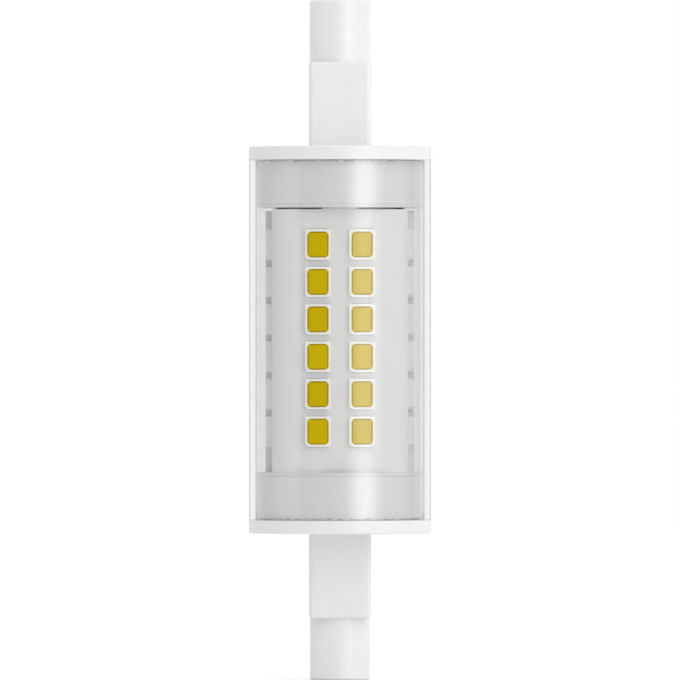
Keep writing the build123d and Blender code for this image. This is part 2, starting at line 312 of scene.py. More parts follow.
def shades(tree, source, dark, light):
    """Noise turned into shades between two colours."""
    ramp = add(tree, "ShaderNodeValToRGB")
    ramp.color_ramp.elements[0].position = noise_low
    ramp.color_ramp.elements[1].position = noise_high
    ramp.color_ramp.elements[0].color = (*dark, 1.0)
    ramp.color_ramp.elements[1].color = (*light, 1.0)
    tree.links.new(source, ramp.inputs["Fac"])
    return ramp.outputs["Color"]


def relief(tree, source, depth):
    """Bump from a noise, with its depth in metres."""
    bump = add(tree, "ShaderNodeBump", {"Strength": 1.0, "Distance": depth})
    tree.links.new(source, bump.inputs["Height"])
    return bump.outputs["Normal"]


def new_material(name):
    """Node material with a plain shader: the material, its tree and its shader."""
    material = bpy.data.materials.new(name)
    material.use_nodes = True
    return material, material.node_tree, material.node_tree.nodes["Principled BSDF"]


def scaled(base, factor):
    """Colour made lighter or darker."""
    return [min(1.0, channel * factor) for channel in base]


def finish(name, base, roughness, mark, depth, mottle=0.03, stretch=evenly, metal=0.0, shine=0.5):
    """Finish of one colour with soft mottling, and with a fine grain in its gloss and relief."""
    material, tree, shader = new_material(name)
    fine = grain(tree, mark, stretch)
    broad = grain(tree, mark * mottle_size, stretch)
    mixed = shades(tree, broad, scaled(base, 1.0 - mottle), scaled(base, 1.0 + mottle))
    tree.links.new(mixed, shader.inputs["Base Color"])
    tree.links.new(spread(tree, fine, *roughness), shader.inputs["Roughness"])
    tree.links.new(relief(tree, fine, depth), shader.inputs["Normal"])
    shader.inputs["Metallic"].default_value = metal
    shader.inputs["Specular IOR Level"].default_value = shine
    return material


def tint_where(material, mask, tint):
    """Multiply a finish's colour by a tint wherever a mask is one."""
    tree = material.node_tree
    base = tree.nodes["Principled BSDF"].inputs["Base Color"]
    change = {1: [channel - 1.0 for channel in tint], 2: (1.0, 1.0, 1.0)}
    level = add(tree, "ShaderNodeVectorMath", change, operation="MULTIPLY_ADD")
    tree.links.new(mask, level.inputs[0])
    tinted = add(tree, "ShaderNodeVectorMath", operation="MULTIPLY")
    tree.links.new(base.links[0].from_socket, tinted.inputs[0])
    tree.links.new(level.outputs["Vector"], tinted.inputs[1])
    tree.links.new(tinted.outputs["Vector"], base)


def dress(names, material):
    """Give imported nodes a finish."""
    for name in names:
        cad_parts[name].material_slots[0].material = material


def both_ends(name):
    """Names of a piece at the lower and the upper end."""
    return ["lower_" + name, "upper_" + name]


# Helpers for meshes

def arc(centre_x, centre_y, radius, start):
    """Points of a quarter circle."""
    points = []
    for step in range(corner_steps + 1):
        angle = start + math.pi / 2 * step / corner_steps
        points.append((centre_x + radius * math.cos(angle), centre_y + radius * math.sin(angle)))
    return points


def rounded_outline(width, height, radius):
    """Rounded rectangle, anticlockwise from its right side's upper corner."""
    x = width / 2 - radius
    y = height / 2 - radius
    corners = ((x, y, 0.0), (-x, y, 0.5), (-x, -y, 1.0), (x, -y, 1.5))
    points = []
    for centre_x, centre_y, turn in corners:
        points += arc(centre_x, centre_y, radius, turn * math.pi)
    return points


def cut_outline(width, height, radius, cut):
    """Rounded rectangle with its lower left corner cut off straight."""
    points = rounded_outline(width, height, radius)
    first = 2 * (corner_steps + 1)
    for step in range(corner_steps + 1):
        share = step / corner_steps
        x = -width / 2 + cut * share
        y = -height / 2 + cut * (1.0 - share)
        points[first + step] = (x, y)
    return points


def stacked_mesh(name, solids):
    """Closed solids, each through loops of points that match one to one."""
    work = bmesh.new()
    for loops in solids:
        rings = [[work.verts.new(point) for point in loop] for loop in loops]
        points = len(rings[0])
        for lower, upper in zip(rings, rings[1:]):
            for i in range(points):
                j = (i + 1) % points
                work.faces.new((lower[i], lower[j], upper[j], upper[i]))
        work.faces.new(list(reversed(rings[0])))
        work.faces.new(rings[-1])
    bmesh.ops.recalc_face_normals(work, faces=work.faces)
    mesh = bpy.data.meshes.new(name)
    work.to_mesh(mesh)
    work.free()
    mesh.polygons.foreach_set("use_smooth", [True] * len(mesh.polygons))
    mesh.set_sharp_from_angle(angle=math.radians(package_crease_degrees))
    return mesh


def at_height(outline, z):
    """Loop of points at one height."""
    return [(x, y, z) for x, y in outline]


def new_object(name, data):
    """Object at the origin, in the scene."""
    item = bpy.data.objects.new(name, data)
    bpy.context.scene.collection.objects.link(item)
    return item


# Geometry Nodes

def new_tree(name, inputs):
    """Geometry tree with named inputs: the tree, its input sockets and its output socket."""
    tree = bpy.data.node_groups.new(name, "GeometryNodeTree")
    for label, kind in inputs.items():
        tree.interface.new_socket(name=label, in_out="INPUT", socket_type="NodeSocket" + kind)
    tree.interface.new_socket(name="Geometry", in_out="OUTPUT", socket_type="NodeSocketGeometry")
    start = tree.nodes.new("NodeGroupInput")
    end = tree.nodes.new("NodeGroupOutput")
    return tree, start.outputs, end.inputs["Geometry"]


def grow(name, tree, values):
    """Piece that a geometry tree makes, kept as a plain mesh."""
    piece = new_object(name, bpy.data.meshes.new(name + "_start"))
    modifier = piece.modifiers.new("shape", "NODES")
    modifier.node_group = tree
    for item in tree.interface.items_tree:
        if item.in_out == "INPUT":
            modifier[item.identifier] = values[item.name]
    grown = piece.evaluated_get(bpy.context.evaluated_depsgraph_get())
    mesh = bpy.data.meshes.new_from_object(grown)
    if not mesh.polygons:
        raise RuntimeError(name + " came out empty")
    piece.modifiers.remove(modifier)
    piece.data = mesh
    return piece


def close_tree(tree, geometry, material, output):
    """End a tree with real geometry that carries its material."""
    real = add(tree, "GeometryNodeRealizeInstances")
    coat = add(tree, "GeometryNodeSetMaterial")
    tree.links.new(geometry, real.inputs["Geometry"])
    tree.links.new(real.outputs["Geometry"], coat.inputs["Geometry"])
    tree.links.new(material, coat.inputs["Material"])
    tree.links.new(coat.outputs["Geometry"], output)


def led_rows_tree():
    """Tree that sets one package piece in columns on the four faces of the boards."""
    tree, given, output = new_tree("LED rows", {
        "Package": "Object", "Material": "Material", "Rows": "Int", "Pitch": "Float", "Middle": "Float",
        "Offset": "Float", "Board": "Float", "Turn": "Float", "Seed": "Int",
    })
    # Every point's column, row, face and side follow from its index
    index = add(tree, "GeometryNodeInputIndex").outputs["Index"]
    column = calculate(tree, "FLOOR", calculate(tree, "DIVIDE", index, given["Rows"]))
    row = calculate(tree, "SUBTRACT", index, calculate(tree, "MULTIPLY", column, given["Rows"]))
    face = calculate(tree, "FLOOR", calculate(tree, "DIVIDE", column, 2.0))
    side = calculate(tree, "SUBTRACT", calculate(tree, "MULTIPLY", column, 2.0), 1.0)
    side = calculate(tree, "SUBTRACT", side, calculate(tree, "MULTIPLY", face, 4.0))
    angle = calculate(tree, "MULTIPLY", face, math.pi / 2)

    half = calculate(tree, "DIVIDE", calculate(tree, "SUBTRACT", given["Rows"], 1.0), 2.0)
    rise = calculate(tree, "MULTIPLY", calculate(tree, "SUBTRACT", row, half), given["Pitch"])
    x = calculate(tree, "MULTIPLY", side, given["Offset"])
    y = calculate(tree, "MULTIPLY", given["Board"], -1.0)
    z = calculate(tree, "ADD", given["Middle"], rise)
    turned = add(tree, "ShaderNodeVectorRotate", rotation_type="Z_AXIS")
    tree.links.new(vector(tree, x, y, z), turned.inputs["Vector"])
    tree.links.new(angle, turned.inputs["Angle"])

    points = add(tree, "GeometryNodePoints")
    feed(tree, calculate(tree, "MULTIPLY", given["Rows"], len(led_columns)), points.inputs["Count"])
    tree.links.new(turned.outputs["Vector"], points.inputs["Position"])

    package = add(tree, "GeometryNodeObjectInfo", {"As Instance": True})
    tree.links.new(given["Package"], package.inputs["Object"])
    copies = add(tree, "GeometryNodeInstanceOnPoints")
    tree.links.new(points.outputs["Points"], copies.inputs["Points"])
    tree.links.new(package.outputs["Geometry"], copies.inputs["Instance"])
    tree.links.new(vector(tree, x=math.pi / 2, z=angle), copies.inputs["Rotation"])

    # Each package sits a little askew
    chance = add(tree, "FunctionNodeRandomValue", data_type="FLOAT")
    least, most = live(chance.inputs)[:2]
    feed(tree, calculate(tree, "MULTIPLY", given["Turn"], -1.0), least)
    feed(tree, given["Turn"], most)
    tree.links.new(given["Seed"], chance.inputs["Seed"])
    turn = add(tree, "GeometryNodeRotateInstances")
    tree.links.new(copies.outputs["Instances"], turn.inputs["Instances"])
    tree.links.new(vector(tree, z=live(chance.outputs)[0]), turn.inputs["Rotation"])

    # Each package keeps a shade of its own for its finish
    shade = add(tree, "FunctionNodeRandomValue", data_type="FLOAT")
    tree.links.new(given["Seed"], shade.inputs["Seed"])
    keep = add(
        tree, "GeometryNodeStoreNamedAttribute", {"Name": "shade"}, data_type="FLOAT", domain="INSTANCE"
    )
    tree.links.new(turn.outputs["Instances"], keep.inputs["Geometry"])
    tree.links.new(live(shade.outputs)[0], keep.inputs["Value"])
    close_tree(tree, keep.outputs["Geometry"], given["Material"], output)
    return tree


def ring_tree(name, extra):
    """Start of a tree that sweeps a rectangular section round the lamp's axis."""
    inputs = {
        "Radius": "Float", "Wall": "Float", "Height": "Float", "Bottom": "Float", "Edge": "Float",
        "Segments": "Int", "Material": "Material",
    }
    tree, given, output = new_tree(name, inputs | extra)
    middle = calculate(tree, "SUBTRACT", given["Radius"], calculate(tree, "DIVIDE", given["Wall"], 2.0))
    path = add(tree, "GeometryNodeCurvePrimitiveCircle")
    tree.links.new(given["Segments"], path.inputs["Resolution"])
    tree.links.new(middle, path.inputs["Radius"])
    upright = add(tree, "GeometryNodeSetCurveNormal", mode="Z_UP")
    tree.links.new(path.outputs["Curve"], upright.inputs["Curve"])
    section = add(tree, "GeometryNodeCurvePrimitiveQuadrilateral")
    tree.links.new(given["Wall"], section.inputs["Width"])
    tree.links.new(given["Height"], section.inputs["Height"])
    edges = add(tree, "GeometryNodeFilletCurve", {"Count": 1, "Limit Radius": True}, mode="POLY")
    tree.links.new(section.outputs["Curve"], edges.inputs["Curve"])
    tree.links.new(given["Edge"], edges.inputs["Radius"])
    sweep = add(tree, "GeometryNodeCurveToMesh")
    tree.links.new(upright.outputs["Curve"], sweep.inputs["Curve"])
    tree.links.new(edges.outputs["Curve"], sweep.inputs["Profile Curve"])
    half = calculate(tree, "DIVIDE", given["Height"], 2.0)
    lift = calculate(tree, "ADD", given["Bottom"], half)
    raised = add(tree, "GeometryNodeTransform")
    tree.links.new(sweep.outputs["Mesh"], raised.inputs["Geometry"])
    tree.links.new(vector(tree, z=lift), raised.inputs["Translation"])
    return tree, given, output, raised.outputs["Geometry"]


def crisp(tree, geometry):
    """Smooth faces with sharp edges wherever the surface turns."""
    smooth = add(tree, "GeometryNodeSetShadeSmooth", domain="FACE")
    bend = add(tree, "GeometryNodeInputMeshEdgeAngle")
    sharp = add(tree, "FunctionNodeCompare", data_type="FLOAT", operation="GREATER_THAN")
    sharp.inputs["B"].default_value = math.radians(ring_crease_degrees)
    edges = add(tree, "GeometryNodeSetShadeSmooth", {"Shade Smooth": False}, domain="EDGE")
    tree.links.new(bend.outputs["Unsigned Angle"], sharp.inputs["A"])
    tree.links.new(geometry, smooth.inputs["Geometry"])
    tree.links.new(smooth.outputs["Geometry"], edges.inputs["Geometry"])
    tree.links.new(sharp.outputs["Result"], edges.inputs["Selection"])
    return edges.outputs["Geometry"]


def cover_tree():
    """Tree of the clear tube."""
    tree, given, output, ring = ring_tree("Cover tube", {})
    close_tree(tree, crisp(tree, ring), given["Material"], output)
    return tree


def adhesive_tree():
    """Tree of an adhesive ring whose free edge runs unevenly and reaches furthest at the sides."""
    tree, given, output, ring = ring_tree("Adhesive ring", {
        "Marks": "Float", "Facing": "Float", "Reach": "Float", "Seed": "Int",
    })
    place = add(tree, "GeometryNodeInputPosition").outputs["Position"]
    noise = add(tree, "ShaderNodeTexNoise", {"Detail": 3.0}, noise_dimensions="4D")
    tree.links.new(place, noise.inputs["Vector"])
    tree.links.new(given["Marks"], noise.inputs["Scale"])
    tree.links.new(given["Seed"], noise.inputs["W"])
    marks = ranged(tree, noise.outputs["Fac"], {
        "From Min": adhesive_noise_low, "From Max": adhesive_noise_high,
        "To Min": adhesive_least_reach, "To Max": given["Reach"],
    })
    x, y, z = axes(tree, place)
    aside = calculate(tree, "DIVIDE", calculate(tree, "ABSOLUTE", x), given["Radius"])
    pooled = ranged(tree, aside, {"From Min": adhesive_pool_start, "From Max": adhesive_pool_full})
    reach = calculate(tree, "MAXIMUM", marks, pooled)

    # Every point's distance from the collar is cut to the share that the adhesive reaches there
    half = calculate(tree, "DIVIDE", given["Height"], 2.0)
    middle = calculate(tree, "ADD", given["Bottom"], half)
    up = calculate(tree, "SUBTRACT", z, middle)
    collar = calculate(tree, "SUBTRACT", middle, calculate(tree, "MULTIPLY", half, given["Facing"]))
    from_collar = calculate(tree, "ADD", calculate(tree, "MULTIPLY", up, given["Facing"]), half)
    drawn_in = calculate(tree, "MULTIPLY", from_collar, reach)
    level = calculate(tree, "ADD", collar, calculate(tree, "MULTIPLY", drawn_in, given["Facing"]))
    uneven = add(tree, "GeometryNodeSetPosition")
    tree.links.new(ring, uneven.inputs["Geometry"])
    tree.links.new(vector(tree, x, y, level), uneven.inputs["Position"])
    close_tree(tree, crisp(tree, uneven.outputs["Geometry"]), given["Material"], output)
    return tree


# Finishes with trees of their own

def clear_plastic(passed):
    """Thin clear wall: it passes light straight on, takes more at a slant and mirrors its outline."""
    least_mirrored = 0.032
    grazing_power = 5.0
    material, tree, shader = new_material("clear_cover_plastic")
    tree.nodes.remove(shader)
    drawn = grain(tree, 0.0006, (1.0, 1.0, 40.0))
    gloss = add(tree, "ShaderNodeBsdfGlossy", {"Color": white})
    tree.links.new(spread(tree, drawn, 0.03, 0.07), gloss.inputs["Roughness"])
    tree.links.new(relief(tree, drawn, 2e-7), gloss.inputs["Normal"])

    # What a surface passes, from a straight look to a grazing one
    slants = (0.0, 0.3, 0.55, 0.7, 0.8, 1.0)
    levels = (0.995, 0.975, passed, passed, 0.945, 0.945)
    facing = add(tree, "ShaderNodeLayerWeight").outputs["Facing"]
    tint = add(tree, "ShaderNodeValToRGB")
    stops = tint.color_ramp.elements
    for slant in slants[1:-1]:
        stops.new(slant)
    for stop, level in zip(stops, levels):
        stop.color = (level, level, level, 1.0)
    tree.links.new(facing, tint.inputs["Fac"])
    clear = add(tree, "ShaderNodeBsdfTransparent")
    tree.links.new(tint.outputs["Color"], clear.inputs["Color"])

    # What it mirrors, which rises steeply towards a grazing look
    steep = calculate(tree, "POWER", facing, grazing_power)
    share = ranged(tree, steep, {"To Min": least_mirrored, "To Max": 1.0})
    mixed = add(tree, "ShaderNodeMixShader")
    tree.links.new(share, mixed.inputs["Fac"])
    tree.links.new(clear.outputs["BSDF"], mixed.inputs[1])
    tree.links.new(gloss.outputs["BSDF"], mixed.inputs[2])
    tree.links.new(mixed.outputs["Shader"], tree.nodes["Material Output"].inputs["Surface"])
    return material


def cap_finish(base, spigot_painted_shade):
    """Moulded white plastic, with a painted shade that makes the spigots inside the cover greyer."""
    material = finish(
        "cap_plastic", base, roughness=(0.28, 0.36), mark=0.00018, depth=1.5e-6, mottle=0.012
    )
    tree = material.node_tree
    # Painted shade: the colour is darkened where the caps lie within the cover's height
    place = add(tree, "ShaderNodeTexCoord").outputs["Object"]
    rise = calculate(tree, "SUBTRACT", axes(tree, place)["Z"], lamp_middle)
    inside = calculate(tree, "LESS_THAN", calculate(tree, "ABSOLUTE", rise), cover_high.z - lamp_middle)
    tint_where(material, inside, spigot_painted_shade)
    return material


def led_finish(base, side_painted_shade):
    """White package plastic, with a painted shade that makes the outer sides darker, and a neutral grey
    colour on those sides.
    """
    material = finish(
        "led_frame_plastic", base, roughness=(0.36, 0.46), mark=0.0001, depth=1e-6, mottle=0.015,
        shine=0.4,
    )
    side = add(material.node_tree, "ShaderNodeAttribute", attribute_name="side").outputs["Fac"]
    tint_where(material, side, side_painted_shade)
    return material


def phosphor_finish(base):
    """Yellow phosphor with a fine grain, each window a little different, with a painted shade along its
    frame.
    """
    window_difference = 0.05
    rim_painted_shade = 0.36
    material, tree, shader = new_material("yellow_phosphor")
    fine = grain(tree, 0.00006)
    shade = add(tree, "ShaderNodeAttribute", attribute_name="shade").outputs["Fac"]
    rim = add(tree, "ShaderNodeAttribute", attribute_name="rim").outputs["Fac"]
    grains = shades(tree, fine, scaled(base, 0.95), scaled(base, 1.05))
    varied = calculate(tree, "MULTIPLY", shade, window_difference)
    level = calculate(tree, "ADD", varied, 1.0 - window_difference / 2)
    # Painted shade: the phosphor is darkened along its rim, where the frame's wall shades it
    level = calculate(tree, "SUBTRACT", level, calculate(tree, "MULTIPLY", rim, rim_painted_shade))
    dimmed = add(tree, "ShaderNodeVectorMath", operation="SCALE")
    tree.links.new(grains, dimmed.inputs["Vector"])
    tree.links.new(level, dimmed.inputs["Scale"])
    tree.links.new(dimmed.outputs["Vector"], shader.inputs["Base Color"])
    tree.links.new(spread(tree, fine, 0.6, 0.75), shader.inputs["Roughness"])
    tree.links.new(relief(tree, fine, 2e-6), shader.inputs["Normal"])
    shader.inputs["Specular IOR Level"].default_value = 0.02
    return material


def winding_finish(base):
    """Enamelled copper wound in even turns across the drum."""
    material, tree, shader = new_material("copper_winding")
    place = add(tree, "ShaderNodeTexCoord")
    turns = add(tree, "ShaderNodeTexWave", {"Scale": 1600.0, "Distortion": 0.4}, bands_direction="Y")
    tree.links.new(place.outputs["Object"], turns.inputs["Vector"])
    mixed = shades(tree, turns.outputs["Fac"], scaled(base, 0.7), scaled(base, 1.05))
    tree.links.new(mixed, shader.inputs["Base Color"])
    tree.links.new(spread(tree, turns.outputs["Fac"], 0.28, 0.4), shader.inputs["Roughness"])
    tree.links.new(relief(tree, turns.outputs["Fac"], 4e-5), shader.inputs["Normal"])
    shader.inputs["Metallic"].default_value = 1.0
    return material


# Operators

class LAMP_OT_end_caps(Operator):
    """Give the end caps and the core holders their moulded white plastic"""

    bl_idname = "lamp.end_caps"
    bl_label = "End caps"

    def execute(self, context):
        colours = context.scene.lamp_colours
        dress(both_ends("end_cap"), cap_finish(colours.cap, colours.spigot_painted_shade))
        plate = finish(
            "holder_plastic", colours.holder, roughness=(0.4, 0.5), mark=0.0002, depth=2e-6, mottle=0.012
        )
        dress(both_ends("core_holder"), plate)
        return {"FINISHED"}


class LAMP_OT_contacts(Operator):
    """Give the contacts their plated metal and the lead wires their sleeves"""

    bl_idname = "lamp.contacts"
    bl_label = "Contacts and wires"

    def execute(self, context):
        colours = context.scene.lamp_colours
        plated = finish(
            "plated_contact", colours.solder, roughness=(0.22, 0.4), mark=0.00012, depth=1e-6,
            mottle=0.06, metal=1.0,
        )
        dress(both_ends("contact"), plated)
        sleeve = finish("wire_sleeve", colours.sleeve, roughness=(0.45, 0.55), mark=0.0002, depth=2e-6)
        dress(both_ends("lead_wire"), sleeve)
        return {"FINISHED"}


class LAMP_OT_cover(Operator):
    """Make the clear cover tube"""

    bl_idname = "lamp.cover"
    bl_label = "Clear cover"

    def execute(self, context):
        sizes = context.scene.lamp_cover
        tube = grow("cover_tube", cover_tree(), {
            "Radius": sizes.radius, "Wall": sizes.wall, "Height": sizes.tube_length,
            "Bottom": sizes.bottom, "Edge": sizes.edge, "Segments": cover_segments,
            "Material": clear_plastic(sizes.passed),
        })
        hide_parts("clear_cover")
        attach(tube, "root")
        return {"FINISHED"}


class LAMP_OT_adhesive(Operator):
    """Make the uneven adhesive rings at both ends of the cover; their dark colour also paints the
    contact shade in the joints at the collars
    """

    bl_idname = "lamp.adhesive"
    bl_label = "Adhesive"

    def execute(self, context):
        sizes = context.scene.lamp_cover
        glue_and_joint_shade = finish(
            "adhesive_and_joint_shade", context.scene.lamp_colours.glue_and_joint_shade, roughness=(0.25, 0.4), mark=0.0003,
            depth=4e-6, mottle=0.08,
        )
        tree = adhesive_tree()
        lower = sizes.bottom
        upper = sizes.bottom + sizes.tube_length - sizes.seal_height
        for end, bottom, facing in (("lower", lower, 1.0), ("upper", upper, -1.0)):
            ring = grow(end + "_adhesive", tree, {
                "Radius": sizes.seal_radius, "Wall": sizes.seal_wall, "Height": sizes.seal_height,
                "Bottom": bottom, "Edge": sizes.seal_wall / adhesive_edge_parts,
                "Segments": adhesive_segments, "Material": glue_and_joint_shade, "Marks": adhesive_marks,
                "Facing": facing, "Reach": adhesive_reach, "Seed": sizes.seed,
            })
            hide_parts(end + "_cover_seal")
            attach(ring, "root")
        return {"FINISHED"}


class LAMP_OT_leds(Operator):
    """Make the rows of LED packages: frames, phosphor windows and solder"""

    bl_idname = "lamp.leds"
    bl_label = "LEDs"

    def window(self, sizes, inset, least_corner=0.0):
        """Outline of the opening in a frame, drawn in from the frame's inner wall."""
        width = sizes.width - 2 * (sizes.wall + inset)
        depth = sizes.length - 2 * (sizes.wall + inset)
        return rounded_outline(width, depth, max(sizes.window_corner - inset, least_corner))

    def frame_mesh(self, sizes):
        """White frame with its cut corner, softened edges and open window, and with its sides marked for
        a painted shade.
        """
        def outer(inset):
            return cut_outline(
                sizes.width - 2 * inset, sizes.length - 2 * inset, sizes.corner - inset, sizes.cut
            )

        edge = sizes.edge
        start = edge_start * edge
        walls = [at_height(outer(0.0), 0.0), at_height(outer(0.0), sizes.height - edge)]
        top = [
            at_height(outer(start), sizes.height - start),
            at_height(outer(edge), sizes.height),
            at_height(self.window(sizes, -edge), sizes.height),
            at_height(self.window(sizes, -start), sizes.height - start),
            at_height(self.window(sizes, 0.0), sizes.height - edge),
            at_height(self.window(sizes, 0.0), sizes.floor),
        ]
        mesh = stacked_mesh("led_frame", [walls + top])
        # The outer walls are marked where the painted shade goes
        side = mesh.attributes.new("side", "FLOAT", "POINT")
        for index in range(2 * len(walls[0])):
            side.data[index].value = 1.0
        return mesh

    def phosphor_mesh(self, sizes):
        """Phosphor that fills a window, sunk a little along the frame, with its rim marked for a painted
        shade.
        """
        top = sizes.height - sizes.dip
        loops = [at_height(self.window(sizes, phosphor_gap, phosphor_corner), sizes.floor)]
        for inset, drop in phosphor_loops:
            loops.append(at_height(self.window(sizes, inset, phosphor_corner), top - drop))
        mesh = stacked_mesh("led_phosphor", [loops])
        rim = mesh.attributes.new("rim", "FLOAT", "POINT")
        for vertex in mesh.vertices:
            across = sizes.width / 2 - sizes.wall - abs(vertex.co.x)
            along = sizes.length / 2 - sizes.wall - abs(vertex.co.y)
            rim.data[vertex.index].value = 1.0 if min(across, along) < phosphor_shade_rim else 0.0
        return mesh

    def solder_mesh(self, sizes):
        """Two low solder fillets, one at each end of a package."""
        half = sizes.width * solder_share
        solids = []
        for end in (-1, 1):
            inner = end * (sizes.length / 2 - solder_overlap)
            outer = end * (sizes.length / 2 + sizes.solder)
            middle = (inner + outer) / 2
            section = ((inner, 0.0), (outer, 0.0), (middle, solder_foot), (inner, solder_rise))
            solids.append([[(x, y, z) for y, z in section] for x in (-half, half)])
        return stacked_mesh("led_solder", solids)

    def execute(self, context):
        sizes = context.scene.lamp_leds
        colours = context.scene.lamp_colours
        tree = led_rows_tree()
        frames = led_finish(colours.led, colours.led_side_painted_shade)
        tinned = finish(
            "tinned_solder", colours.solder, roughness=(0.3, 0.45), mark=0.00008, depth=2e-6,
            mottle=0.06, metal=1.0,
        )
        pieces = (
            ("led_frames", self.frame_mesh(sizes), "led_white", frames),
            ("led_phosphor", self.phosphor_mesh(sizes), "phosphor", phosphor_finish(colours.phosphor)),
            ("led_solder", self.solder_mesh(sizes), "contact_metal", tinned),
        )
        for name, mesh, slot, material in pieces:
            package = new_object(name + "_package", mesh)
            rows = grow(name, tree, {
                "Package": package, "Material": material, "Rows": sizes.rows,
                "Pitch": (sizes.rows_span - sizes.length) / (sizes.rows - 1),
                "Middle": sizes.rows_middle, "Offset": sizes.offset, "Board": sizes.board,
                "Turn": math.radians(led_twist_degrees), "Seed": sizes.seed,
            })
            bpy.data.objects.remove(package)
            if name != "led_solder":
                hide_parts(*[name + "_" + column for column in led_columns])
            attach(rows, "root")
        return {"FINISHED"}


class LAMP_OT_core(Operator):
    """Give the core its extruded metal, the LED boards their white mask and the links their copper"""

    bl_idname = "lamp.core"
    bl_label = "Core and LED boards"

    def execute(self, context):
        colours = context.scene.lamp_colours
        drawn = (1.0, 1.0, 60.0)
        metal = finish(
            "extruded_core", colours.core, roughness=(0.5, 0.62), mark=0.0001, depth=2e-6, mottle=0.05,
            stretch=drawn, metal=0.25,
        )
        dress(["core"], metal)
        mask = finish(
            "board_white_mask", colours.board, roughness=(0.4, 0.5), mark=0.0003, depth=1.5e-6,
            mottle=0.012, shine=0.3,
        )
        dress(["front_led_board", "rear_led_board"], mask)
        wire = finish(
            "bare_copper", colours.copper, roughness=(0.25, 0.35), mark=0.0001, depth=1e-6, mottle=0.05,
            stretch=drawn, metal=1.0,
        )
        dress(["board_links"], wire)
        return {"FINISHED"}


class LAMP_OT_driver(Operator):
    """Give the driver board and its components their finishes"""

    bl_idname = "lamp.driver"
    bl_label = "Driver"

    def execute(self, context):
        colours = context.scene.lamp_colours
        laminate = finish(
            "driver_laminate", colours.laminate, roughness=(0.45, 0.6), mark=0.0002, depth=4e-6,
            mottle=0.1, stretch=(1.0, 1.0, 3.0),
        )
        dress(["driver_board"], laminate)
        can = finish(
            "drawn_can", colours.can, roughness=(0.25, 0.4), mark=0.0001, depth=1e-6, mottle=0.04,
            stretch=(1.0, 1.0, 30.0), metal=1.0,
        )
        dress(["smoothing_capacitor"], can)
        dress(["choke_winding"], winding_finish(colours.copper))

        # Nodes, finish, colour, roughness, mark, depth and mottle of the plain components
        packages = ["rectifier_bridge", "driver_chip", "output_diode"]
        chips = ["chip_resistors", "chip_capacitors"]
        plain = (
            (["film_capacitor"], "film_case", colours.film_case, (0.3, 0.42), 0.0002, 3e-6, 0.06),
            (["choke_core"], "pressed_ferrite", colours.ferrite, (0.6, 0.75), 0.0001, 6e-6, 0.15),
            (["fusible_resistor"], "resistor_coat", colours.resistor, (0.35, 0.5), 0.0002, 4e-6, 0.06),
            (packages, "package_black", colours.package, (0.55, 0.7), 0.00012, 4e-6, 0.1),
            (chips, "chip_ceramic", colours.ceramic, (0.4, 0.55), 0.00012, 3e-6, 0.08),
        )
        for nodes, name, base, roughness, mark, depth, mottle in plain:
            dress(nodes, finish(name, base, roughness, mark, depth, mottle))
        return {"FINISHED"}


